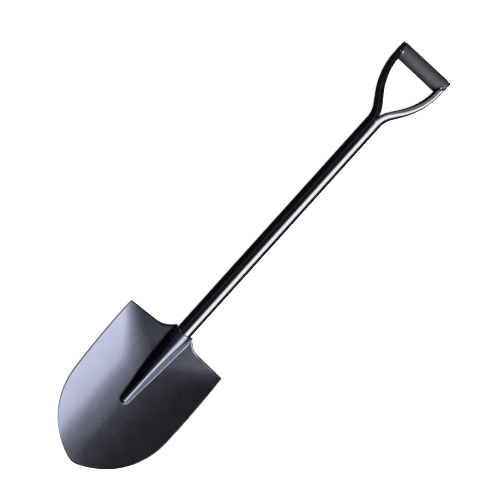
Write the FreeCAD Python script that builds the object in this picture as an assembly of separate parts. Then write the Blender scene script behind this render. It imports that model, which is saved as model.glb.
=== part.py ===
import FreeCAD, Part
import math
import os

# Round point shovel, all steel, with a Y shaped grip end. Lengths are in millimetres.
# It lies face up on the floor: +X runs from the blade's point to the hand grip, Y is sideways, +Z is the
# front, and the origin is the middle of its bottom. The parts are drawn about the tube's axis with X = 0 at
# the blade's shoulders, and are tilted and moved to that origin at the end.

# Handle tube, which is slit at its top and opened into two arms
TUBE_RADIUS = 16.0
TUBE_WALL = 1.5
GRIP_X = 683.5              # shoulders to the hand grip's axis
FORK_LENGTH = 133.5         # from where the arms part to the hand grip's axis
ARM_HALF_SPREAD = 58.8      # outer faces of the arms at the hand grip
ARM_TURN_DEG = 33.4         # steepest angle between an arm and the tube
CROTCH_BEND_RADIUS = 44.0
ARM_STRAIGHT_SHARE = 0.31   # of the sideways travel left after that bend
ARM_DEPTH = 10.8            # an arm's channel section at the hand grip
ARM_HALF_HEIGHT = 19.5
ARM_SQUARENESS = 4.0        # exponent of that section, where 2 is an ellipse
SECTION_SETTLES = 125.0     # length of arm over which the half tube becomes that section
SLIT_RADIUS = 1.2
TONGUE_LENGTH = 28.5        # rounded end of each arm, a half ellipse seen from the side
TONGUE_START = -12.0        # where that half ellipse begins, from the hand grip's axis
ARM_STATIONS = 22
SECTION_POINTS = 15

# The tube's lower end is swaged to a taper that fills the blade's socket
SWAGE_LENGTH = 72.0
SWAGE_STATIONS = 6
SOCKET_GAP = 0.4

# Blade, pressed from one sheet
SHEET = 1.8
LIFT_DEG = 12.3             # between the blade and the handle
HEEL_LEVEL = -24.0          # dish's bottom below the tube's axis, if it ran on straight to the shoulders
DISH_DEPTH = 20.0
DISH_POWER = 1.6            # 2 would be a parabola, less gives flatter sides and a tighter bottom
HEEL_RISE_LENGTH = 105.0    # over which the dish closes towards the shoulders
HIP_BLEND = 0.35            # crease between the dish's heel and its sides, as a share of its depth
HALF_WIDTH = 116.0
WIDEST_X = -60.0
SIDE_RADIUS = 1800.0
SIDE_END_X = -160.0
POINT_RADIUS = 155.0
TIP_RADIUS = 30.0
CORNER_X = -1.5
SHOULDER_SLOPE = 0.05
NECK_RADIUS = 42.0          # outline's fillet from a shoulder to the socket
NECK_CENTRE_Y = 54.0
CORNER_Y = 115.7
CORNER_ROUND = 2.0
EAR_Y = 20.5                # the socket's mouth is highest at its two sides
EAR_ROUND = 2.5
MOUTH_X = 17.0              # and lowest over the middle of the tube

# Ridge that the socket makes on the blade's front
CREST = TUBE_RADIUS + SOCKET_GAP + SHEET
NOSE_X = -151.0
NOSE_RADIUS = 7.0
PINCH_LENGTH = 120.0        # over which the ridge narrows from the tube's size to its nose's
MOUTH_FLANK_DEG = 75.0
NOSE_FLANK_DEG = 62.0
RIDGE_BLEND = 0.5           # height of the ridge's fillet, as a share of its radius

# Grid that the blade's faces are drawn through
GRID_HALF_Y = 119.0
GRID_LOW_X = -306.0
GRID_HIGH_X = 36.0
GRID_COLUMNS = 40           # each side of the middle
GRID_ROWS = 74
COLUMN_CROWDING = 1.5
NOSE_CROWDING = 0.72

# Weld seams between the tube and the socket, on the blade's back
WELD_START_X = 12.0
WELD_END_X = -50.0
WELD_BEAD = 0.25            # radius of a seam and its place, as shares of the tube's radius there
WELD_ACROSS = 1.08
WELD_DROP = 1.42            # below the crest of the tube

# Hand grip, its core tube and the rod through both
GRIP_RADIUS = 17.0
GRIP_HALF_LENGTH = 56.6
GRIP_END_ROUND = 5.0
CORE_RADIUS = 11.0
CORE_WALL = 1.5
CORE_HALF_LENGTH = 56.8
RUNNING_GAP = 0.06
ROD_RADIUS = 4.0
ROD_HOLE_RADIUS = 4.15
ROD_HEAD_RADIUS = 7.0
ROD_HEAD_HEIGHT = 1.2

# As it lies, the tube rises from its lowest point at the shoulders to the arms, which are deeper than it
REST_TILT_DEG = 0.293

LARGE = 400.0


def point(x, y, z=0.0):
    return FreeCAD.Vector(x, y, z)


def smooth_step(share):
    share = min(max(share, 0.0), 1.0)
    return share * share * (3 - 2 * share)


def curve_through(points):
    curve = Part.BSplineCurve()
    curve.interpolate(points)
    return curve.toShape()


# ---------------------------------------------------------------- blade

def plate_height(x, y):
    """Front face of the dished plate, without the ridge. Its heel and its sides meet in a soft hip."""
    lifted = HEEL_LEVEL - x * math.tan(math.radians(LIFT_DEG))
    sides = abs(y / HALF_WIDTH) ** DISH_POWER
    heel = max(0.0, 1 + x / HEEL_RISE_LENGTH) ** DISH_POWER
    meeting = max(0.0, HIP_BLEND - abs(sides - heel)) / HIP_BLEND
    return lifted + DISH_DEPTH * (max(sides, heel) + HIP_BLEND * meeting ** 2 / 4)


def pinch(x):
    """0 at the shoulders, where the ridge is as round as the tube, and 1 where it has its nose's section."""
    along = min(max(-x / PINCH_LENGTH, 0.0), 1.0)
    return 1 - (1 - along) ** 2


def ridge_radius(x):
    return CREST + (NOSE_RADIUS - CREST) * pinch(x)


def ridge_height(x, y):
    """Front face of the ridge: a round crest over steep flanks, with a round nose."""
    radius = ridge_radius(x)
    flank = math.radians(MOUTH_FLANK_DEG + (NOSE_FLANK_DEG - MOUTH_FLANK_DEG) * pinch(x))
    reach = math.hypot(y, min(0.0, x - NOSE_X))
    crest_reach = radius * math.sin(flank)
    if reach <= crest_reach:
        return CREST - radius + math.sqrt(radius ** 2 - reach ** 2)
    return CREST - radius + radius * math.cos(flank) - (reach - crest_reach) * math.tan(flank)


def front_height(x, y):
    """Plate and ridge together, with a fillet where they meet."""
    plate = plate_height(x, y)
    ridge = ridge_height(x, y)
    blend = RIDGE_BLEND * ridge_radius(x)
    meeting = max(0.0, blend - abs(plate - ridge)) / blend
    return max(plate, ridge) + blend * meeting ** 2 / 4


def front_normal(x, y, step=0.05):
    slope_x = (front_height(x + step, y) - front_height(x - step, y)) / (2 * step)
    slope_y = (front_height(x, y + step) - front_height(x, y - step)) / (2 * step)
    return point(-slope_x, -slope_y, 1.0).normalize()


def grid_columns(x):
    """Places across the blade, closer together near the ridge and spaced along the surface itself."""
    step = 0.25
    ys = [0.0]
    lengths = [0.0]
    while ys[-1] < GRID_HALF_Y:
        rise = front_height(x, ys[-1] + step) - front_height(x, ys[-1])
        lengths.append(lengths[-1] + math.hypot(step, rise))
        ys.append(ys[-1] + step)
    half = []
    k = 0
    for i in range(1, GRID_COLUMNS + 1):
        wanted = lengths[-1] * (i / GRID_COLUMNS) ** COLUMN_CROWDING
        while k + 1 < len(lengths) and lengths[k + 1] < wanted:
            k += 1
        last = min(k + 1, len(lengths) - 1)
        span = max(lengths[last] - lengths[k], 1e-9)
        half.append(ys[k] + (ys[last] - ys[k]) * min((wanted - lengths[k]) / span, 1.0))
    return [-y for y in reversed(half)] + [0.0] + half


def grid_rows():
    """Places along the blade, closer together round the ridge's nose."""
    length = GRID_HIGH_X - GRID_LOW_X
    nose = (NOSE_X - GRID_LOW_X) / length
    rows = []
    for i in range(GRID_ROWS + 1):
        share = i / GRID_ROWS
        wave = math.sin(2 * math.pi * (share - nose)) / (2 * math.pi)
        rows.append(GRID_LOW_X + length * (share - NOSE_CROWDING * wave))
    first, last = rows[0], rows[-1]
    return [GRID_LOW_X + (x - first) * length / (last - first) for x in rows]


def surface_through(grid):
    surface = Part.BSplineSurface()
    surface.interpolate(grid)
    return surface.toShape()


def pressed_sheet():
    """The whole pressed sheet, before its outline is cut."""
    front = []
    back = []
    for x in grid_rows():
        front_row = [point(x, y, front_height(x, y)) for y in grid_columns(x)]
        front.append(front_row)
        back.append([p - front_normal(p.x, p.y) * SHEET for p in front_row])
    faces = [surface_through(front), surface_through(back)]
    rims = (
        lambda grid: grid[0],
        lambda grid: grid[-1],
        lambda grid: [row[0] for row in grid],
        lambda grid: [row[-1] for row in grid],
    )
    for rim in rims:
        front_edge = nearest_edge(faces[0], rim(front))
        back_edge = nearest_edge(faces[1], rim(back))
        faces.append(Part.makeRuledSurface(front_edge, back_edge))
    shell = Part.makeShell(faces)
    shell.sewShape()
    return solid_from(shell)


def nearest_edge(face, points):
    middle = Part.Vertex(points[len(points) // 2])
    return min(face.Edges, key=lambda edge: edge.distToShape(middle)[0])


def solid_from(shell):
    solid = Part.makeSolid(shell)
    if solid.Volume < 0:
        solid.reverse()
    return solid


def arc_edge(centre, radius, start_deg, end_deg):
    """Arc in plan, with its angles counted from +X towards +Y."""
    ends = []
    for degrees in (start_deg, (start_deg + end_deg) / 2, end_deg):
        turn = math.radians(degrees)
        ends.append(centre + point(radius * math.cos(turn), radius * math.sin(turn)))
    return Part.Arc(*ends).toShape()


def blade_outline():
    """Outline in plan: the socket's mouth, then down one side to the tip, and its mirror image."""
    side_centre = point(WIDEST_X, HALF_WIDTH - SIDE_RADIUS)
    side_end_deg = math.degrees(math.acos((SIDE_END_X - WIDEST_X) / SIDE_RADIUS))
    side_start_deg = math.degrees(math.acos((CORNER_X - WIDEST_X) / SIDE_RADIUS))
    side_end_turn = math.radians(side_end_deg)
    outward = point(math.cos(side_end_turn), math.sin(side_end_turn))
    point_centre = side_centre + outward * (SIDE_RADIUS - POINT_RADIUS)
    tip_turn = math.asin(-point_centre.y / (POINT_RADIUS - TIP_RADIUS))
    tip_centre = point(point_centre.x - (POINT_RADIUS - TIP_RADIUS) * math.cos(tip_turn), 0)
    tip_start_deg = 180 - math.degrees(tip_turn)

    side = arc_edge(side_centre, SIDE_RADIUS, side_start_deg, side_end_deg)
    flank = arc_edge(point_centre, POINT_RADIUS, side_end_deg, tip_start_deg)
    half_tip = arc_edge(tip_centre, TIP_RADIUS, tip_start_deg, 180)

    corner = side.Vertexes[0].Point
    neck_start = point(CORNER_X + SHOULDER_SLOPE * (corner.y - NECK_CENTRE_Y), NECK_CENTRE_Y)
    slope = math.atan(SHOULDER_SLOPE)
    neck_centre = neck_start + point(math.cos(slope), math.sin(slope)) * NECK_RADIUS
    ear_deg = 180 + math.degrees(math.asin((neck_centre.y - EAR_Y) / NECK_RADIUS))
    neck = arc_edge(neck_centre, NECK_RADIUS, ear_deg, 180 + math.degrees(slope))
    ear = neck.Vertexes[0].Point
    mouth = Part.Arc(point(ear.x, -ear.y), point(MOUTH_X, 0), ear).toShape()
    shoulder = Part.makeLine(neck.Vertexes[-1].Point, corner)

    half = [neck, shoulder, side, flank, half_tip]
    mirrored = [edge.mirror(point(0, 0), point(0, 1)) for edge in half]
    return Part.Wire(Part.__sortEdges__([mouth] + half + mirrored))


def make_blade():
    outline = Part.Face(blade_outline())
    outline.translate(point(0, 0, -LARGE / 2))
    cutter = outline.extrude(point(0, 0, LARGE))
    uprights = [edge for edge in cutter.Edges if abs(edge.Length - LARGE) < 0.001]
    for places, radius in ((EAR_Y, EAR_ROUND), (CORNER_Y, CORNER_ROUND)):
        sharp = [edge for edge in uprights if abs(abs(edge.Vertexes[0].Y) - places) < 1]
        cutter = cutter.makeFillet(radius, sharp)
        uprights = [edge for edge in cutter.Edges if abs(edge.Length - LARGE) < 0.001]
    return pressed_sheet().common(cutter)


# ---------------------------------------------------------------- handle tube

def arm_place(length):
    """Place and heading, in radians, at a length along the outer line of the arm on the +Y side."""
    turn = math.radians(ARM_TURN_DEG)
    first_arc = CROTCH_BEND_RADIUS * turn
    rise_first = CROTCH_BEND_RADIUS * (1 - math.cos(turn))
    run_first = CROTCH_BEND_RADIUS * math.sin(turn)
    straight = arm_straight_length()
    second_radius = arm_bend_radius()
    second_arc = second_radius * turn
    start_x = GRIP_X - FORK_LENGTH
    if length <= first_arc:
        heading = length / CROTCH_BEND_RADIUS
        x = start_x + CROTCH_BEND_RADIUS * math.sin(heading)
        y = TUBE_RADIUS + CROTCH_BEND_RADIUS * (1 - math.cos(heading))
        return x, y, heading
    length -= first_arc
    if length <= straight:
        x = start_x + run_first + length * math.cos(turn)
        y = TUBE_RADIUS + rise_first + length * math.sin(turn)
        return x, y, turn
    length -= straight
    bend_x = start_x + run_first + straight * math.cos(turn)
    if length <= second_arc:
        heading = turn - length / second_radius
        x = bend_x + second_radius * (math.sin(turn) - math.sin(heading))
        y = ARM_HALF_SPREAD - second_radius * (1 - math.cos(heading))
        return x, y, heading
    return bend_x + second_radius * math.sin(turn) + length - second_arc, ARM_HALF_SPREAD, 0.0


def arm_rise_left():
    turn = math.radians(ARM_TURN_DEG)
    return ARM_HALF_SPREAD - TUBE_RADIUS - CROTCH_BEND_RADIUS * (1 - math.cos(turn))


def arm_straight_length():
    return ARM_STRAIGHT_SHARE * arm_rise_left() / math.sin(math.radians(ARM_TURN_DEG))


def arm_bend_radius():
    turn = math.radians(ARM_TURN_DEG)
    return (1 - ARM_STRAIGHT_SHARE) * arm_rise_left() / (1 - math.cos(turn))


def arm_section(length, inset):
    """Half tube section at a length along the arm; inset is how far inside the outer face."""
    x, y, heading = arm_place(length)
    settled = smooth_step(length / SECTION_SETTLES)
    depth = TUBE_RADIUS + (ARM_DEPTH - TUBE_RADIUS) * settled
    half_height = TUBE_RADIUS + (ARM_HALF_HEIGHT - TUBE_RADIUS) * settled - inset
    power = 2 / (2 + (ARM_SQUARENESS - 2) * settled)
    outward = point(-math.sin(heading), math.cos(heading))
    lip = point(x, y) - outward * depth
    points = []
    for i in range(SECTION_POINTS):
        turn = math.radians(180 * i / (SECTION_POINTS - 1) - 90)
        out = (depth - inset) * max(math.cos(turn), 0.0) ** power
        up = math.copysign(half_height * abs(math.sin(turn)) ** power, turn)
        points.append(lip + outward * out + point(0, 0, up))
    return points


def make_arm():
    """One arm, on the +Y side, before its end is rounded."""
    end = 0.0
    while arm_place(end)[0] < GRIP_X + TONGUE_START + TONGUE_LENGTH + 2:
        end += 1.0
    wires = []
    for i in range(ARM_STATIONS + 1):
        length = end * i / ARM_STATIONS
        outer = arm_section(length, 0.0)
        inner = arm_section(length, TUBE_WALL)
        edges = [
            curve_through(outer),
            Part.makeLine(outer[-1], inner[-1]),
            curve_through(inner[::-1]),
            Part.makeLine(inner[0], outer[0]),
        ]
        wires.append(Part.Wire(edges))
    return Part.makeLoft(wires, True, False)


def ring(x, radius, middle):
    """Round section of the tube, drawn as two halves so that it meets the arms edge to edge."""
    halves = []
    for side in (1, -1):
        points = []
        for i in range(SECTION_POINTS):
            turn = math.radians(180 * i / (SECTION_POINTS - 1) - 90) * side
            points.append(point(x, side * radius * math.cos(turn), middle + radius * math.sin(turn)))
        halves.append(curve_through(points))
    return Part.Wire(halves)


def swage_radius(x):
    return ridge_radius(x) - SHEET - SOCKET_GAP


def tube_body(inset):
    """Straight tube and its swaged end as one solid bar, inset inside the outer face. Its crest is level."""
    small = swage_radius(-SWAGE_LENGTH)
    rings = []
    for degrees in (65, 40, 20):
        turn = math.radians(degrees)
        end_x = -SWAGE_LENGTH - (small - inset) * math.sin(turn)
        rings.append(ring(end_x, (small - inset) * math.cos(turn), TUBE_RADIUS - small))
    for i in range(SWAGE_STATIONS + 1):
        x = -SWAGE_LENGTH * (1 - i / SWAGE_STATIONS)
        rings.append(ring(x, swage_radius(x) - inset, TUBE_RADIUS - swage_radius(x)))
    rings.append(ring(GRIP_X - FORK_LENGTH, TUBE_RADIUS - inset, 0))
    return Part.makeLoft(rings, True, True)


def tongue_cutter():
    """What is cut away beyond the rounded ends of the arms."""
    start = GRIP_X + TONGUE_START
    block = Part.makeBox(LARGE, LARGE, LARGE, point(start, -LARGE / 2, -LARGE / 2))
    ellipse = Part.Ellipse(point(start, -LARGE / 2), TONGUE_LENGTH, ARM_HALF_HEIGHT + 0.1)
    disc = Part.Face(Part.Wire([ellipse.toShape()]))
    disc.rotate(point(start, -LARGE / 2), point(1, 0, 0), 90)
    return block.cut(disc.extrude(point(0, LARGE, 0)))


def make_handle_tube():
    fork_x = GRIP_X - FORK_LENGTH
    rod_hole = Part.makeCylinder(ROD_HOLE_RADIUS, LARGE, point(GRIP_X, -LARGE / 2), point(0, 1, 0))
    slit = Part.makeBox(LARGE, LARGE, LARGE, point(fork_x - 1, SLIT_RADIUS - LARGE, -LARGE / 2))
    right = make_arm().cut(slit).cut(tongue_cutter()).cut(rod_hole)
    left = right.mirror(point(0, 0), point(0, 1))
    slit_end = Part.makeCylinder(SLIT_RADIUS, LARGE, point(fork_x, 0, -LARGE / 2))
    tube = tube_body(0.0).cut(tube_body(TUBE_WALL)).cut(slit_end)
    return tube.fuse(right).fuse(left)


# ---------------------------------------------------------------- weld seams

def make_socket_welds(blade):
    """Two seams on the back that fill the grooves between the tube and the socket's flanks."""
    seams = []
    tube = tube_body(0.0)
    for side in (1, -1):
        rings = []
        for x in (WELD_START_X, WELD_END_X):
            radius = swage_radius(x)
            centre = point(x, side * WELD_ACROSS * radius, TUBE_RADIUS - WELD_DROP * radius)
            circle = Part.Circle(centre, point(1, 0, 0), WELD_BEAD * radius)
            rings.append(Part.Wire([circle.toShape()]))
        seam = Part.makeLoft(rings, True, True).cut([tube, blade])
        seams.append(max(seam.Solids, key=lambda solid: solid.Volume))
    return Part.makeCompound(seams)


# ---------------------------------------------------------------- hand grip

def make_hand_grip():
    """Moulded plastic sleeve with rounded ends, which turns on the core tube."""
    bore = CORE_RADIUS + RUNNING_GAP
    sleeve = Part.makeCylinder(
        GRIP_RADIUS, 2 * GRIP_HALF_LENGTH, point(GRIP_X, -GRIP_HALF_LENGTH), point(0, 1, 0)
    )
    rims = [edge for edge in sleeve.Edges if isinstance(edge.Curve, Part.Circle)]
    sleeve = sleeve.makeFillet(GRIP_END_ROUND, rims)
    hole = Part.makeCylinder(bore, LARGE, point(GRIP_X, -LARGE / 2), point(0, 1, 0))
    return sleeve.cut(hole)


def make_grip_core():
    """Steel spacer tube that keeps the arms apart and carries the sleeve."""
    low = point(GRIP_X, -CORE_HALF_LENGTH)
    outer = Part.makeCylinder(CORE_RADIUS, 2 * CORE_HALF_LENGTH, low, point(0, 1, 0))
    inner = Part.makeCylinder(CORE_RADIUS - CORE_WALL, 2 * CORE_HALF_LENGTH, low, point(0, 1, 0))
    return outer.cut(inner)


def rod_head(side):
    """Low domed head formed on the outside of an arm."""
    dome_radius = (ROD_HEAD_RADIUS ** 2 + ROD_HEAD_HEIGHT ** 2) / (2 * ROD_HEAD_HEIGHT)
    centre = point(GRIP_X, side * (ARM_HALF_SPREAD + ROD_HEAD_HEIGHT - dome_radius))
    ball = Part.makeSphere(dome_radius, centre)
    slab = Part.makeCylinder(
        ROD_HEAD_RADIUS, 2 * ROD_HEAD_HEIGHT, point(GRIP_X, side * ARM_HALF_SPREAD), point(0, side, 0)
    )
    return ball.common(slab)


def make_grip_rod():
    """Through rivet that clamps the arms onto the core tube."""
    low = point(GRIP_X, -ARM_HALF_SPREAD)
    shank = Part.makeCylinder(ROD_RADIUS, 2 * ARM_HALF_SPREAD, low, point(0, 1, 0))
    return shank.fuse([rod_head(1), rod_head(-1)]).removeSplitter()


# ---------------------------------------------------------------- assembly

def main():
    blade = make_blade()
    nodes = {
        "blade": blade,
        "handle_tube": make_handle_tube(),
        "socket_welds": make_socket_welds(blade),
        "hand_grip": make_hand_grip(),
        "grip_core": make_grip_core(),
        "grip_rod": make_grip_rod(),
    }
    for shape in nodes.values():
        shape.rotate(point(0, 0), point(0, 1), -REST_TILT_DEG)
    boxes = [shape.optimalBoundingBox() for shape in nodes.values()]
    low_x = min(box.XMin for box in boxes)
    high_x = max(box.XMax for box in boxes)
    origin = point((low_x + high_x) / 2, 0, min(box.ZMin for box in boxes))
    os.makedirs("parts", exist_ok=True)
    for name, shape in nodes.items():
        shape.translate(origin * -1)
        shape.exportStep(f"parts/{name}.step")
        box = shape.optimalBoundingBox()
        print(
            f"{name}: solids {len(shape.Solids)} valid {shape.isValid()} volume {shape.Volume:.0f}"
            f" x {box.XMin:.1f} {box.XMax:.1f} y {box.YMin:.1f} {box.YMax:.1f} z {box.ZMin:.2f} {box.ZMax:.2f}"
        )


main()
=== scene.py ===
import math

import bpy
import numpy as np
from mathutils import Matrix, Vector


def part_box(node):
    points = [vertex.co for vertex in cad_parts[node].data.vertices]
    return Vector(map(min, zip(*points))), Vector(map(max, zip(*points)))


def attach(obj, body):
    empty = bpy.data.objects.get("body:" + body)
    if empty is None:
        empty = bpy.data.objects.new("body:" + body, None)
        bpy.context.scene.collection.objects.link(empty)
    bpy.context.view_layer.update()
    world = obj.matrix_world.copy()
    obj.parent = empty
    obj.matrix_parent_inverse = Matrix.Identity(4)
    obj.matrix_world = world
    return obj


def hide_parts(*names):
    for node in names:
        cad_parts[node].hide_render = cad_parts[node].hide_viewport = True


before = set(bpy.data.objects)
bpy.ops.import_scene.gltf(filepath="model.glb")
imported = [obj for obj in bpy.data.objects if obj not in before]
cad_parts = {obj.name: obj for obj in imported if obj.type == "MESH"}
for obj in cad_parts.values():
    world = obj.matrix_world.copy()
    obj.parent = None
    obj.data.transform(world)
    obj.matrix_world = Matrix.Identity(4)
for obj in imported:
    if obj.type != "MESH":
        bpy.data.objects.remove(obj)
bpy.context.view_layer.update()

# Everything is in metres, in the part's own frame: +X from the blade's point to the hand grip, +Z up.
# Shapes are drawn about the tube's axis with x = 0 at the blade's shoulders, as the part's own are.

TUBE_RADIUS = 0.016
TUBE_WALL = 0.0015
GRIP_X = 0.6835
FORK_LENGTH = 0.1335
ARM_HALF_SPREAD = 0.0588
ARM_TURN = math.radians(33.4)
CROTCH_BEND_RADIUS = 0.044
ARM_STRAIGHT_SHARE = 0.31
ARM_DEPTH = 0.0108
ARM_HALF_HEIGHT = 0.0195
ARM_SQUARENESS = 4.0
SECTION_SETTLES = 0.125
SLIT_RADIUS = 0.0012
TONGUE_LENGTH = 0.0285
TONGUE_START = -0.012
SWAGE_LENGTH = 0.072
SOCKET_GAP = 0.0004

SHEET = 0.0018
LIFT_SLOPE = math.tan(math.radians(12.3))
HEEL_LEVEL = -0.024
DISH_DEPTH = 0.020
DISH_POWER = 1.6
HEEL_RISE_LENGTH = 0.105
HIP_BLEND = 0.35
HALF_WIDTH = 0.116
WIDEST_X = -0.060
SIDE_RADIUS = 1.8
SIDE_END_X = -0.160
POINT_RADIUS = 0.155
TIP_RADIUS = 0.030
CORNER_X = -0.0015
CORNER_Y = 0.1157
CORNER_ROUND = 0.002
SHOULDER_SLOPE = 0.05
NECK_RADIUS = 0.042
NECK_CENTRE_Y = 0.054
EAR_Y = 0.0205
EAR_ROUND = 0.0025
MOUTH_X = 0.017
ROLL_DEPTH = 0.0030
ROLL_LENGTH = 0.0055

CREST = TUBE_RADIUS + SOCKET_GAP + SHEET
NOSE_X = -0.151
NOSE_RADIUS = 0.007
PINCH_LENGTH = 0.120
MOUTH_FLANK = math.radians(75)
NOSE_FLANK = math.radians(62)
RIDGE_BLEND = 0.5
FOOT_MARGIN = 1.15
FOOT_SHARE_OF_WIDTH = 0.35

GRIP_RADIUS = 0.017
GRIP_HALF_LENGTH = 0.0566
GRIP_END_ROUND = 0.005
SKIN_INSET = 0.0001         # the visible sleeve lies this far inside the solid one
BORE_CLEARANCE = 0.00006
PARTING_HALF_WIDTH = 0.0004
PARTING_RISE = 0.00009
CORE_RADIUS = 0.011
ROD_RADIUS = 0.004
ROD_HEAD_RADIUS = 0.007
ROD_HEAD_HEIGHT = 0.0012

WELD_START_X = 0.012
WELD_END_X = -0.050
WELD_BEAD = 0.25
WELD_ACROSS = 1.08
WELD_DROP = 1.42
WELD_RIPPLE = 0.0042
RIPPLE_DEPTH = 0.07
WELD_TAPER = 9

REST_TILT = math.radians(0.293)     # the tube's slope as the shovel lies on the floor

grip_low, grip_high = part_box("hand_grip")
grip_middle = Vector((grip_low[0] + grip_high[0], 0, grip_low[2] + grip_high[2])) / 2
LYING = Matrix.Rotation(-REST_TILT, 4, "Y")
PLACE = Matrix.Translation(grip_middle - LYING @ Vector((GRIP_X, 0, 0))) @ LYING


# ---------------------------------------------------------------- meshes

def placed(points):
    """Points about the tube's axis, tilted and moved into the part's frame."""
    turn = np.array(PLACE.to_3x3())
    return np.asarray(points, float).reshape(-1, 3) @ turn.T + np.array(PLACE.translation)


def new_object(name, points, faces, rims=(), bevel=0.0):
    """Smooth-shaded mesh object. Each rim is a line of points and its share of the bevel."""
    mesh = bpy.data.meshes.new(name)
    mesh.from_pydata([tuple(p) for p in placed(points)], [], faces)
    mesh.validate()
    mesh.update()
    mesh.shade_smooth()
    obj = bpy.data.objects.new(name, mesh)
    bpy.context.scene.collection.objects.link(obj)
    if bevel:
        weights = mesh.attributes.new("bevel_weight_edge", "FLOAT", "EDGE")
        values = np.zeros(len(mesh.edges), np.float32)
        shares = {}
        for rim, share in rims:
            for a, b in zip(rim, rim[1:]):
                shares[frozenset((a, b))] = share
        for edge in mesh.edges:
            values[edge.index] = shares.get(frozenset(edge.vertices), 0.0)
        weights.data.foreach_set("value", values)
        round_over = obj.modifiers.new("edges", "BEVEL")
        round_over.limit_method = "WEIGHT"
        round_over.width = bevel
        round_over.segments = 4
        round_over.use_clamp_overlap = False
    return obj


def grid_faces(rows, columns, start=0, flip=False, closed=False):
    """Quads over a grid of points stored row by row."""
    faces = []
    for i in range(rows - 1):
        for j in range(columns if closed else columns - 1):
            k = (j + 1) % columns
            a, b = start + i * columns + j, start + i * columns + k
            c, d = start + (i + 1) * columns + k, start + (i + 1) * columns + j
            faces.append((a, d, c, b) if flip else (a, b, c, d))
    return faces


def strip_faces(first, second, flip=False):
    """Quads between two lines of point numbers of the same length."""
    faces = []
    for k in range(len(first) - 1):
        quad = (first[k], first[k + 1], second[k + 1], second[k])
        faces.append(quad[::-1] if flip else quad)
    return faces


def turned_object(name, profile, segments):
    """Closed profile of (radius, along) turned about the hand grip's axis."""
    points = []
    for i in range(segments):
        turn = 2 * math.pi * i / segments
        for radius, along in profile:
            points.append((GRIP_X + radius * math.cos(turn), along, radius * math.sin(turn)))
    count = len(profile)
    faces = []
    for i in range(segments):
        for j in range(count):
            a, b = i * count + j, i * count + (j + 1) % count
            c = ((i + 1) % segments) * count + (j + 1) % count
            d = ((i + 1) % segments) * count + j
            faces.append((a, b, c, d))
    return new_object(name, points, faces)


def smooth_step(share):
    share = np.clip(share, 0.0, 1.0)
    return share * share * (3 - 2 * share)


# ---------------------------------------------------------------- blade

def plate_height(x, y):
    """Dished plate whose heel and sides meet in a soft hip."""
    lifted = HEEL_LEVEL - x * LIFT_SLOPE
    sides = np.abs(y / HALF_WIDTH) ** DISH_POWER
    heel = np.maximum(0.0, 1 + x / HEEL_RISE_LENGTH) ** DISH_POWER
    meeting = np.maximum(0.0, HIP_BLEND - np.abs(sides - heel)) / HIP_BLEND
    return lifted + DISH_DEPTH * (np.maximum(sides, heel) + HIP_BLEND * meeting ** 2 / 4)


def pinch(x):
    """0 at the shoulders, where the ridge is as round as the tube, and 1 at its nose's section."""
    along = np.clip(-x / PINCH_LENGTH, 0.0, 1.0)
    return 1 - (1 - along) ** 2


def ridge_radius(x):
    return CREST + (NOSE_RADIUS - CREST) * pinch(x)


def flank_angle(x):
    return MOUTH_FLANK + (NOSE_FLANK - MOUTH_FLANK) * pinch(x)


def ridge_foot(x):
    """Half width of the ridge with its fillets."""
    radius = ridge_radius(x)
    angle = flank_angle(x)
    crest_reach = radius * np.sin(angle)
    drop = CREST - radius + radius * np.cos(angle) - plate_height(x, radius)
    return FOOT_MARGIN * (crest_reach + np.maximum(drop, 0.0) / np.tan(angle))


def ridge_height(x, y):
    radius = ridge_radius(x)
    reach = np.hypot(y, np.minimum(0.0, x - NOSE_X))
    angle = flank_angle(x)
    crest_reach = radius * np.sin(angle)
    crown = CREST - radius + np.sqrt(np.maximum(radius ** 2 - reach ** 2, 0.0))
    flank = CREST - radius + radius * np.cos(angle) - (reach - crest_reach) * np.tan(angle)
    return np.where(reach <= crest_reach, crown, flank)


def front_height(x, y):
    """Front face of the blade: the dished plate and the ridge, with a fillet where they meet."""
    plate = plate_height(x, y)
    ridge = ridge_height(x, y)
    blend = RIDGE_BLEND * ridge_radius(x)
    meeting = np.maximum(0.0, blend - np.abs(plate - ridge)) / blend
    return np.maximum(plate, ridge) + blend * meeting ** 2 / 4


def front_normals(x, y, step=0.00005):
    slope_x = (front_height(x + step, y) - front_height(x - step, y)) / (2 * step)
    slope_y = (front_height(x, y + step) - front_height(x, y - step)) / (2 * step)
    normals = np.stack([-slope_x, -slope_y, np.ones_like(slope_x)], -1)
    return normals / np.linalg.norm(normals, axis=-1, keepdims=True)


def outline_arcs():
    """Centres of the point's two arcs, where each begins, and the tip's place."""
    side_centre_y = HALF_WIDTH - SIDE_RADIUS
    side_end = math.acos((SIDE_END_X - WIDEST_X) / SIDE_RADIUS)
    reach = SIDE_RADIUS - POINT_RADIUS
    point_x = WIDEST_X + reach * math.cos(side_end)
    point_y = side_centre_y + reach * math.sin(side_end)
    tip_turn = math.asin(-point_y / (POINT_RADIUS - TIP_RADIUS))
    tip_centre_x = point_x - (POINT_RADIUS - TIP_RADIUS) * math.cos(tip_turn)
    flank_start_x = point_x + POINT_RADIUS * math.cos(side_end)
    tip_start_x = point_x - POINT_RADIUS * math.cos(tip_turn)
    return point_x, point_y, tip_centre_x, flank_start_x, tip_start_x


POINT_CENTRE_X, POINT_CENTRE_Y, TIP_CENTRE_X, POINT_START_X, TIP_START_X = outline_arcs()
TIP_X = TIP_CENTRE_X - TIP_RADIUS


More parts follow.
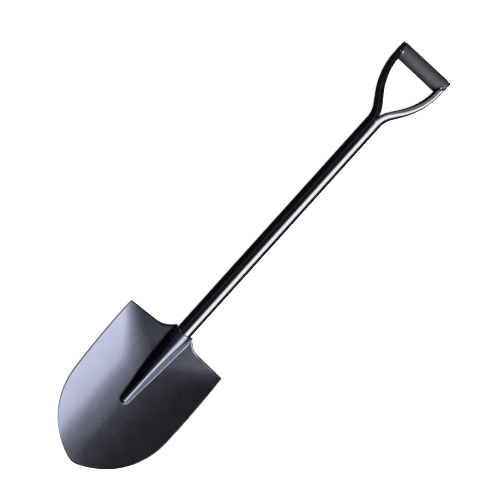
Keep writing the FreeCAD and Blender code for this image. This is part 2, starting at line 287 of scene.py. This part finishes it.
def half_width(x):
    """Half width of the blade's outline at x."""
    side = HALF_WIDTH - SIDE_RADIUS + np.sqrt(SIDE_RADIUS ** 2 - (x - WIDEST_X) ** 2)
    around = np.maximum(POINT_RADIUS ** 2 - (x - POINT_CENTRE_X) ** 2, 0)
    tip = np.sqrt(np.maximum(TIP_RADIUS ** 2 - (x - TIP_CENTRE_X) ** 2, 0))
    width = np.where(x > POINT_START_X, side, POINT_CENTRE_Y + np.sqrt(around))
    return np.where(x > TIP_START_X, width, tip)


def top_edge(y):
    """Upper outline at a place across: shoulder, neck fillet, and the socket's mouth."""
    y = np.abs(y)
    shoulder_x = CORNER_X + SHOULDER_SLOPE * (CORNER_Y - y)
    slope = math.atan(SHOULDER_SLOPE)
    neck_x = CORNER_X + SHOULDER_SLOPE * (CORNER_Y - NECK_CENTRE_Y) + NECK_RADIUS * math.cos(slope)
    neck_y = NECK_CENTRE_Y + NECK_RADIUS * math.sin(slope)
    neck = neck_x - np.sqrt(np.maximum(NECK_RADIUS ** 2 - (neck_y - y) ** 2, 0))
    top = np.where(y > NECK_CENTRE_Y, shoulder_x, neck)
    ear_x = neck_x - math.sqrt(NECK_RADIUS ** 2 - (neck_y - EAR_Y) ** 2)
    mouth_radius = ((ear_x - MOUTH_X) ** 2 + EAR_Y ** 2) / (2 * (ear_x - MOUTH_X))
    mouth = MOUTH_X + mouth_radius - np.sqrt(np.maximum(mouth_radius ** 2 - y ** 2, 0))
    near = np.maximum(0.0, EAR_ROUND - np.abs(top - mouth)) / EAR_ROUND
    past = np.clip(y - (CORNER_Y - CORNER_ROUND), 0.0, CORNER_ROUND)
    corner = CORNER_ROUND - np.sqrt(CORNER_ROUND ** 2 - past ** 2)
    return np.minimum(top, mouth) - EAR_ROUND * near ** 2 / 4 - corner


def blade_rows():
    """Places along the blade: close together at the tip, the ridge's nose and the socket's mouth."""
    tip_length, tip_rows = 0.040, 26
    stretches = (
        (TIP_X + tip_length, -0.170, 0.0030),
        (-0.170, -0.134, 0.0008),
        (-0.134, -0.030, 0.0030),
        (-0.030, -0.008, 0.0012),
        (-0.008, CORNER_X, 0.0004),
    )
    rows = [TIP_X + tip_length * (k / tip_rows) ** 2 for k in range(tip_rows)]
    for start, end, step in stretches:
        count = round((end - start) / step)
        rows += [start + (end - start) * k / count for k in range(count)]
    return np.array(rows + [CORNER_X])


def edge_roll(x, y):
    """The shoulders' edges are turned back a little, but not the socket's mouth."""
    from_edge = np.maximum(0.0, top_edge(y) - x)
    beside_socket = smooth_step((np.abs(y) - EAR_Y) / 0.008)
    return ROLL_DEPTH * beside_socket * np.maximum(0.0, 1 - from_edge / ROLL_LENGTH) ** 2


def plan_normals(x, y):
    """Outward normals, seen in plan, along the right rim of a grid of rows from tip to heel."""
    along_x = np.gradient(x[:, -1])
    along_y = np.gradient(y[:, -1])
    length = np.hypot(along_x, along_y)
    return -along_y / length, along_x / length


def sheet_offsets(x, y, toward_side, toward_top):
    """From the front face to the back one, square to the sheet but upright at its cut edges."""
    normals = front_normals(x, y)
    rim_x, rim_y = plan_normals(x, y)
    mirror = np.where(np.arange(x.shape[1]) < x.shape[1] // 2, -1.0, 1.0)
    side_x = np.broadcast_to(rim_x[:, None], x.shape)
    side_y = rim_y[:, None] * mirror
    for edge_x, edge_y, weight in ((side_x, side_y, toward_side), (1.0, 0.0, toward_top)):
        lean = normals[..., 0] * edge_x + normals[..., 1] * edge_y
        cut = weight * lean
        scale = 1 / (1 - weight * lean ** 2)
        normals[..., 0] = (normals[..., 0] - cut * edge_x) * scale
        normals[..., 1] = (normals[..., 1] - cut * edge_y) * scale
        normals[..., 2] = normals[..., 2] * scale
    return -normals * SHEET


def make_blade():
    """Pressed sheet on a grid whose lines follow the ridge and the outline."""
    ridge_columns, plate_columns = 34, 56
    xs = blade_rows()
    width = half_width(xs)
    foot = np.minimum(ridge_foot(xs), FOOT_SHARE_OF_WIDTH * width)
    inner = np.linspace(0, 1, ridge_columns + 1)
    steps = np.linspace(0, 1, plate_columns + 1)[1:]
    outer = 0.6 * steps + 0.4 * np.sin(steps * math.pi / 2)
    half = np.concatenate([
        foot[:, None] * inner,
        foot[:, None] + (width - foot)[:, None] * outer,
    ], axis=1)
    y = np.concatenate([-half[:, :0:-1], half], axis=1)
    lean = smooth_step((xs + 0.060) / (CORNER_X + 0.060))
    x = xs[:, None] + lean[:, None] * (top_edge(y[-1]) - CORNER_X)
    half_share = np.arange(half.shape[1]) / (half.shape[1] - 1)
    share = np.concatenate([half_share[:0:-1], half_share])
    toward_tip = 1 - smooth_step((xs[:, None] - TIP_X) / 0.010)
    toward_side = np.maximum(smooth_step((share[None, :] - 0.9) / 0.1), toward_tip)
    toward_top = np.broadcast_to(smooth_step((xs[:, None] + 0.012) / (CORNER_X + 0.012)), x.shape)
    front = np.stack([x, y, front_height(x, y) - edge_roll(x, y)], -1)
    back = front + sheet_offsets(x, y, toward_side, toward_top)
    rows, columns = x.shape
    points = np.concatenate([front.reshape(-1, 3), back.reshape(-1, 3)])
    count = rows * columns
    faces = grid_faces(rows, columns, flip=True) + grid_faces(rows, columns, start=count)
    left_rim = [i * columns for i in range(rows)]
    right_rim = [i * columns + columns - 1 for i in range(rows)]
    top_rim = [(rows - 1) * columns + j for j in range(columns)]
    rims = []
    for rim, flip in ((left_rim, True), (right_rim, False), (top_rim, True)):
        back_rim = [k + count for k in rim]
        faces += strip_faces(rim, back_rim, flip)
        rims += [(rim, 1.0), (back_rim, 0.3)]
    return new_object("pressed_blade", points, faces, rims, bevel=0.0012)


# ---------------------------------------------------------------- handle tube

def arm_place(length):
    """Place and heading at a length along the outer line of an arm, from where the arms part."""
    first_arc = CROTCH_BEND_RADIUS * ARM_TURN
    rise = CROTCH_BEND_RADIUS * (1 - math.cos(ARM_TURN))
    run = CROTCH_BEND_RADIUS * math.sin(ARM_TURN)
    rise_left = ARM_HALF_SPREAD - TUBE_RADIUS - rise
    straight = ARM_STRAIGHT_SHARE * rise_left / math.sin(ARM_TURN)
    radius = (1 - ARM_STRAIGHT_SHARE) * rise_left / (1 - math.cos(ARM_TURN))
    start_x = GRIP_X - FORK_LENGTH
    if length <= 0:
        return start_x + length, TUBE_RADIUS, 0.0
    if length <= first_arc:
        heading = length / CROTCH_BEND_RADIUS
        x = start_x + CROTCH_BEND_RADIUS * math.sin(heading)
        return x, TUBE_RADIUS + CROTCH_BEND_RADIUS * (1 - math.cos(heading)), heading
    length -= first_arc
    if length <= straight:
        x = start_x + run + length * math.cos(ARM_TURN)
        return x, TUBE_RADIUS + rise + length * math.sin(ARM_TURN), ARM_TURN
    length -= straight
    bend_x = start_x + run + straight * math.cos(ARM_TURN)
    if length <= radius * ARM_TURN:
        heading = ARM_TURN - length / radius
        x = bend_x + radius * (math.sin(ARM_TURN) - math.sin(heading))
        return x, ARM_HALF_SPREAD - radius * (1 - math.cos(heading)), heading
    return bend_x + radius * math.sin(ARM_TURN) + length - radius * ARM_TURN, ARM_HALF_SPREAD, 0.0


def half_section(length, inset, segments):
    """Half of the tube's section, or an arm's channel, at a length from where the arms part."""
    x, y, heading = arm_place(length)
    settled = float(smooth_step(length / SECTION_SETTLES))
    depth = TUBE_RADIUS + (ARM_DEPTH - TUBE_RADIUS) * settled
    half_height = TUBE_RADIUS + (ARM_HALF_HEIGHT - TUBE_RADIUS) * settled - inset
    power = 2 / (2 + (ARM_SQUARENESS - 2) * settled)
    turns = np.linspace(-math.pi / 2, math.pi / 2, segments + 1)
    out = (depth - inset) * np.maximum(np.cos(turns), 0) ** power
    up = np.sign(turns) * half_height * np.abs(np.sin(turns)) ** power
    up[segments // 2] = 0
    sideways = y - math.cos(heading) * (depth - out)
    along = x + math.sin(heading) * (depth - out)
    if length > 0:
        opening = min(length / SLIT_RADIUS, 1.0)
        slit = SLIT_RADIUS * math.sqrt(1 - (1 - opening) ** 2)
        sideways = np.maximum(sideways, slit)
    return np.stack([along, sideways, up], -1)


def small_section(x, radius, middle, segments):
    """Half of a round section of the swaged end."""
    turns = np.linspace(-math.pi / 2, math.pi / 2, segments + 1)
    return np.stack([np.full(segments + 1, x), radius * np.cos(turns), middle + radius * np.sin(turns)], -1)


def tube_sections(inset, segments):
    """All half sections from the swaged tip to the arm's rounded end, and the number of the fork's one."""
    small = float(ridge_radius(-SWAGE_LENGTH)) - SHEET - SOCKET_GAP
    middle = TUBE_RADIUS - small
    sections = []
    for degrees in (90, 75, 60, 45, 30, 15):
        turn = math.radians(degrees)
        radius = (small - inset) * math.cos(turn)
        end_x = -SWAGE_LENGTH - (small - inset) * math.sin(turn)
        sections.append(small_section(end_x, radius, middle, segments))
    for k in range(15):
        x = -SWAGE_LENGTH * (1 - k / 15)
        radius = float(ridge_radius(x)) - SHEET - SOCKET_GAP
        sections.append(small_section(x, radius - inset, TUBE_RADIUS - radius, segments))
    fork_x = GRIP_X - FORK_LENGTH
    straight = [fork_x * k / 24 for k in range(24)]
    sections += [half_section(x - fork_x, inset, segments) for x in straight]
    fork = len(sections)
    lengths = [SLIT_RADIUS * k / 4 for k in range(5)]
    lengths += list(np.linspace(0.0025, 0.138, 70))
    sections += [half_section(length, inset, segments) for length in lengths]
    last = sections[-1]
    reach = np.clip(1 - (last[:, 2] / (ARM_HALF_HEIGHT + 0.0001)) ** 2, 0, 1)
    end_x = GRIP_X + TONGUE_START + TONGUE_LENGTH * np.sqrt(reach)
    steps = 14
    for k in range(1, steps + 1):
        section = last.copy()
        section[:, 0] += (end_x - last[:, 0]) * k / steps
        sections.append(section)
    return np.array(sections), fork


def make_handle():
    """Tube and both arms in one skin, joined along the middle below the fork and slit above it."""
    segments = 36
    outer, fork = tube_sections(0.0, segments)
    inner, _ = tube_sections(TUBE_WALL, segments)
    rows, columns = outer.shape[:2]
    count = rows * columns
    points = []
    faces = []
    rims = []
    for side in (1, -1):
        start = 2 * count * (0 if side == 1 else 1)
        mirror = np.array([1, side, 1])
        points.append((outer * mirror).reshape(-1, 3))
        points.append((inner * mirror).reshape(-1, 3))
        flip = side == -1
        faces += grid_faces(rows, columns, start=start, flip=not flip)
        faces += grid_faces(rows, columns, start=start + count, flip=flip)
        low_lip = [start + k * columns for k in range(fork, rows)]
        high_lip = [start + k * columns + columns - 1 for k in range(fork, rows)]
        end = [start + (rows - 1) * columns + j for j in range(columns)]
        for line, turn_over in ((low_lip, flip), (high_lip, not flip), (end, flip)):
            faces += strip_faces(line, [k + count for k in line], turn_over)
            rims += [(line, 1.0), ([k + count for k in line], 1.0)]
    handle = new_object("tube_and_arms", np.concatenate(points), faces, rims, bevel=0.0004)
    weld_middle(handle)
    return handle


def weld_middle(obj):
    """Joins points that lie on each other, such as the two halves' middle lines."""
    weld = obj.modifiers.new("join_halves", "WELD")
    weld.merge_threshold = 0.00001
    obj.modifiers.move(len(obj.modifiers) - 1, 0)


# ---------------------------------------------------------------- welds, grip and rod

def make_weld(side):
    """One weld bead with the overlapping ripples of a hand-run seam."""
    steps, segments = 150, 20
    points = []
    for i in range(steps + 1):
        share = i / steps
        x = WELD_START_X + (WELD_END_X - WELD_START_X) * share
        radius = float(ridge_radius(x)) - SHEET - SOCKET_GAP
        scale = ((x - WELD_END_X) % WELD_RIPPLE) / WELD_RIPPLE
        taper = min(1.0, share * WELD_TAPER, (1 - share) * WELD_TAPER) ** 0.5
        hump = math.sqrt(max(0.0, 1 - scale ** 2))
        bead = WELD_BEAD * radius * (0.93 + RIPPLE_DEPTH * hump) * taper
        across = WELD_ACROSS * radius * side
        height = TUBE_RADIUS - WELD_DROP * radius
        for j in range(segments):
            turn = 2 * math.pi * j / segments
            points.append((x, across + bead * math.cos(turn), height + bead * math.sin(turn)))
    faces = grid_faces(steps + 1, segments, closed=True)
    return new_object(f"weld_bead_{'left' if side > 0 else 'right'}", points, faces)


def make_grip():
    """Moulded sleeve with rounded ends and a fine parting line along two opposite sides."""
    skin = GRIP_RADIUS - SKIN_INSET
    bore = CORE_RADIUS + BORE_CLEARANCE
    profile = [(bore, -GRIP_HALF_LENGTH), (bore, GRIP_HALF_LENGTH)]
    for k in range(11):
        turn = math.radians(90 * k / 10)
        profile.append((
            skin - GRIP_END_ROUND * (1 - math.sin(turn)),
            GRIP_HALF_LENGTH - GRIP_END_ROUND * (1 - math.cos(turn)),
        ))
    profile += [(skin, along) for along in np.linspace(0.046, -0.046, 24)]
    profile += [(radius, -along) for radius, along in profile[12:1:-1]]
    grip = turned_object("grip_sleeve_moulding", profile, 144)
    middle = Vector((grip_middle.x, 0, grip_middle.z))
    for vertex in grip.data.vertices:
        spoke = Vector((vertex.co.x, 0, vertex.co.z)) - middle
        if spoke.length > CORE_RADIUS + 0.001 and abs(spoke.z) < PARTING_HALF_WIDTH:
            vertex.co.x += math.copysign(PARTING_RISE, spoke.x)
    return grip


def make_rod():
    """Through rod with a low domed head formed at each end."""
    head = []
    for k in range(9):
        turn = math.radians(90 * k / 8)
        rise = ROD_HEAD_HEIGHT * math.cos(turn)
        head.append((max(ROD_HEAD_RADIUS * math.sin(turn), 0.00002), ARM_HALF_SPREAD + rise))
    head.append((ROD_RADIUS, ARM_HALF_SPREAD - 0.0002))
    profile = head + [(radius, -along) for radius, along in reversed(head)]
    return turned_object("grip_rivet", profile, 64)


# ---------------------------------------------------------------- materials

def node(tree, kind, **settings):
    made = tree.nodes.new(kind)
    for name, value in settings.items():
        setattr(made, name, value)
    return made


def noise(tree, scale, detail=4.0, stretch=(1, 1, 1)):
    """Noise in the object's own coordinates."""
    place = node(tree, "ShaderNodeTexCoord")
    mapping = node(tree, "ShaderNodeMapping")
    mapping.inputs["Scale"].default_value = stretch
    texture = node(tree, "ShaderNodeTexNoise")
    texture.inputs["Scale"].default_value = scale
    texture.inputs["Detail"].default_value = detail
    tree.links.new(place.outputs["Object"], mapping.inputs["Vector"])
    tree.links.new(mapping.outputs["Vector"], texture.inputs["Vector"])
    return texture.outputs["Fac"]


def ramp(tree, value, stops):
    """Colour ramp over a value, from (position, colour) stops."""
    made = node(tree, "ShaderNodeValToRGB")
    elements = made.color_ramp.elements
    while len(elements) < len(stops):
        elements.new(0.5)
    for element, (position, colour) in zip(elements, stops):
        element.position = position
        element.color = (*colour, 1.0) if len(colour) == 3 else colour
    tree.links.new(value, made.inputs["Fac"])
    return made.outputs["Color"]


def grey(level):
    return (level, level, level)


def bump(tree, height, strength, distance, under=None):
    made = node(tree, "ShaderNodeBump")
    made.inputs["Strength"].default_value = strength
    made.inputs["Distance"].default_value = distance
    tree.links.new(height, made.inputs["Height"])
    if under is not None:
        tree.links.new(under, made.inputs["Normal"])
    return made.outputs["Normal"]


def new_material(name):
    material = bpy.data.materials.new(name)
    material.use_nodes = True
    return material, material.node_tree, material.node_tree.nodes["Principled BSDF"]


def paint(name, dark, light, rough_low, rough_high, tint=(1.0, 1.0, 1.0), peel=0.05):
    """Black paint on steel: slight mottling, uneven gloss, orange peel, and a painted highlight, which is a
    lighter colour along sharp edges.
    """
    material, tree, shader = new_material(name)
    shader.inputs["IOR"].default_value = 1.8
    shader.inputs["Specular Tint"].default_value = (*tint, 1.0)
    mottle = ramp(tree, noise(tree, 45.0, 5.0), ((0.35, dark), (0.7, light)))
    # Painted highlight: sharp edges, found by pointiness, get a lighter base colour that stands in for
    # light caught along the edges.
    edge_sharpness = node(tree, "ShaderNodeNewGeometry").outputs["Pointiness"]
    edges = ramp(tree, edge_sharpness, ((0.52, grey(0.0)), (0.62, grey(0.5))))
    painted_edge_highlight = node(tree, "ShaderNodeMix", data_type="RGBA")
    painted_edge_highlight.inputs["B"].default_value = (0.02, 0.02, 0.022, 1)
    tree.links.new(edges, painted_edge_highlight.inputs["Factor"])
    tree.links.new(mottle, painted_edge_highlight.inputs["A"])
    tree.links.new(painted_edge_highlight.outputs["Result"], shader.inputs["Base Color"])
    gloss = ramp(tree, noise(tree, 28.0, 6.0), ((0.3, grey(rough_low)), (0.75, grey(rough_high))))
    tree.links.new(gloss, shader.inputs["Roughness"])
    fine = bump(tree, noise(tree, 900.0, 2.0), peel, 0.0004)
    tree.links.new(bump(tree, noise(tree, 60.0, 2.0), peel, 0.002, fine), shader.inputs["Normal"])
    return material


def grip_plastic():
    """Matt moulded plastic with a fine spark-eroded grain and handling marks."""
    material, tree, shader = new_material("grip_matt_plastic")
    shader.inputs["IOR"].default_value = 1.5
    dark, light = (0.005, 0.005, 0.0060), (0.010, 0.010, 0.0118)
    tone = ramp(tree, noise(tree, 70.0, 6.0), ((0.3, dark), (0.75, light)))
    tree.links.new(tone, shader.inputs["Base Color"])
    gloss = ramp(tree, noise(tree, 90.0, 4.0), ((0.3, grey(0.5)), (0.75, grey(0.68))))
    tree.links.new(gloss, shader.inputs["Roughness"])
    grain = bump(tree, noise(tree, 1500.0, 2.0), 0.35, 0.0003)
    tree.links.new(bump(tree, noise(tree, 260.0, 3.0), 0.12, 0.0006, grain), shader.inputs["Normal"])
    return material


def bare_steel():
    """Drawn steel with fine lines round the tube."""
    material, tree, shader = new_material("core_drawn_steel")
    shader.inputs["Metallic"].default_value = 1.0
    tone = ramp(tree, noise(tree, 40.0, 4.0), ((0.3, (0.36, 0.36, 0.37)), (0.7, (0.5, 0.5, 0.52))))
    tree.links.new(tone, shader.inputs["Base Color"])
    lines = noise(tree, 30.0, 3.0, (1, 60, 1))
    gloss = ramp(tree, lines, ((0.3, grey(0.28)), (0.7, grey(0.42))))
    tree.links.new(gloss, shader.inputs["Roughness"])
    tree.links.new(bump(tree, lines, 0.1, 0.0003), shader.inputs["Normal"])
    return material


# ---------------------------------------------------------------- light, floor and camera

def look_matrix(right, up, back, place):
    turn = Matrix((right, up, back)).transposed().to_4x4()
    return Matrix.Translation(place) @ turn


def add_camera():
    """Camera almost straight above, tipped towards +Y and a little towards the grip, and rolled."""
    azimuth, elevation, roll = math.radians(-21.637), math.radians(98.326), math.radians(-26.525)
    distance = 3.0494
    target = Vector((0.2171, 0.0115, 0.0005))
    back = Vector((
        math.sin(azimuth) * math.cos(elevation),
        -math.cos(azimuth) * math.cos(elevation),
        math.sin(elevation),
    ))
    right = Vector((math.cos(azimuth), math.sin(azimuth), 0))
    up = back.cross(right)
    rolled_right = right * math.cos(roll) + up * math.sin(roll)
    rolled_up = up * math.cos(roll) - right * math.sin(roll)
    data = bpy.data.cameras.new("camera")
    data.sensor_width = 36.0
    data.lens = 116.83
    camera = bpy.data.objects.new("camera", data)
    camera.matrix_world = PLACE @ look_matrix(rolled_right, rolled_up, back, target + back * distance)
    bpy.context.scene.collection.objects.link(camera)
    bpy.context.scene.camera = camera


def panel(name, lowest, highest, distance, middle_x, length, radiance, colour):
    """Soft panel along X over one side of the shovel, between two angles from straight up towards -Y."""
    angle = math.radians((lowest + highest) / 2)
    across = 2 * distance * math.tan(math.radians(highest - lowest) / 2)
    data = bpy.data.lights.new(name, "AREA")
    data.shape = "RECTANGLE"
    data.size = length
    data.size_y = across
    data.energy = radiance * math.pi * length * across
    data.color = colour
    light = bpy.data.objects.new(name, data)
    back = Vector((0, -math.sin(angle), math.cos(angle)))
    right = Vector((1, 0, 0))
    light.matrix_world = look_matrix(right, back.cross(right), back, back * distance + right * middle_x)
    bpy.context.scene.collection.objects.link(light)


def add_lights():
    """A long softbox with a dim rim, a faint strip on the other side, a dim panel past the point."""
    panel("softbox", 24, 70, 1.6, 0.10, 3.4, 10.5, (0.95, 0.96, 1.0))
    panel("softbox_rim", 12, 23, 1.7, 0.10, 3.4, 1.5, (0.95, 0.96, 1.0))
    panel("far_strip", -42, -35, 1.8, 0.10, 3.0, 0.5, (0.9, 0.92, 1.0))
    panel("heel_panel", -20, 30, 2.4, -1.55, 0.7, 1.0, (0.95, 0.95, 1.0))
    world = bpy.data.worlds.new("studio")
    world.use_nodes = True
    world.node_tree.nodes["Background"].inputs["Color"].default_value = (0.012, 0.012, 0.014, 1)
    bpy.context.scene.world = world


def add_floor():
    """Pale floor that the shovel lies on."""
    half = 6.0
    mesh = bpy.data.meshes.new("floor")
    corners = [(-half, -half, 0), (half, -half, 0), (half, half, 0), (-half, half, 0)]
    mesh.from_pydata(corners, [], [(0, 1, 2, 3)])
    floor = bpy.data.objects.new("floor", mesh)
    bpy.context.scene.collection.objects.link(floor)
    material, tree, shader = new_material("pale_floor")
    shader.inputs["Base Color"].default_value = (0.86, 0.86, 0.86, 1)
    shader.inputs["Roughness"].default_value = 0.9
    shader.inputs["Emission Color"].default_value = (1, 1, 1, 1)
    shader.inputs["Emission Strength"].default_value = 0.95
    mesh.materials.append(material)
    floor.visible_glossy = False


# ---------------------------------------------------------------- assembly

def finish_piece(obj, material, body, nodes):
    obj.data.materials.clear()
    obj.data.materials.append(material)
    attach(obj, body)
    if nodes:
        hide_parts(*nodes)


blade_tint = (0.76, 0.79, 1.0)
blade_dark, blade_light = (0.0035, 0.0035, 0.0042), (0.0060, 0.0060, 0.0070)
blade_paint = paint("blade_satin_paint", blade_dark, blade_light, 0.25, 0.29, blade_tint)
tube_paint = paint("tube_gloss_paint", (0.0030, 0.0030, 0.0034), (0.0050, 0.0050, 0.0056), 0.09, 0.13)
weld_paint = paint("weld_paint", (0.0050, 0.0050, 0.0055), (0.0100, 0.0100, 0.0105), 0.35, 0.5, peel=0.2)

finish_piece(make_blade(), blade_paint, "shovel", ["blade"])
finish_piece(make_handle(), tube_paint, "shovel", ["handle_tube"])
finish_piece(make_weld(1), weld_paint, "shovel", ["socket_welds"])
finish_piece(make_weld(-1), weld_paint, "shovel", ["socket_welds"])
finish_piece(make_grip(), grip_plastic(), "grip_sleeve", ["hand_grip"])
finish_piece(make_rod(), tube_paint, "shovel", ["grip_rod"])
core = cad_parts["grip_core"]
core.data.materials.clear()
core.data.materials.append(bare_steel())

add_floor()
add_lights()
add_camera()
bpy.context.scene.view_settings.view_transform = "Standard"
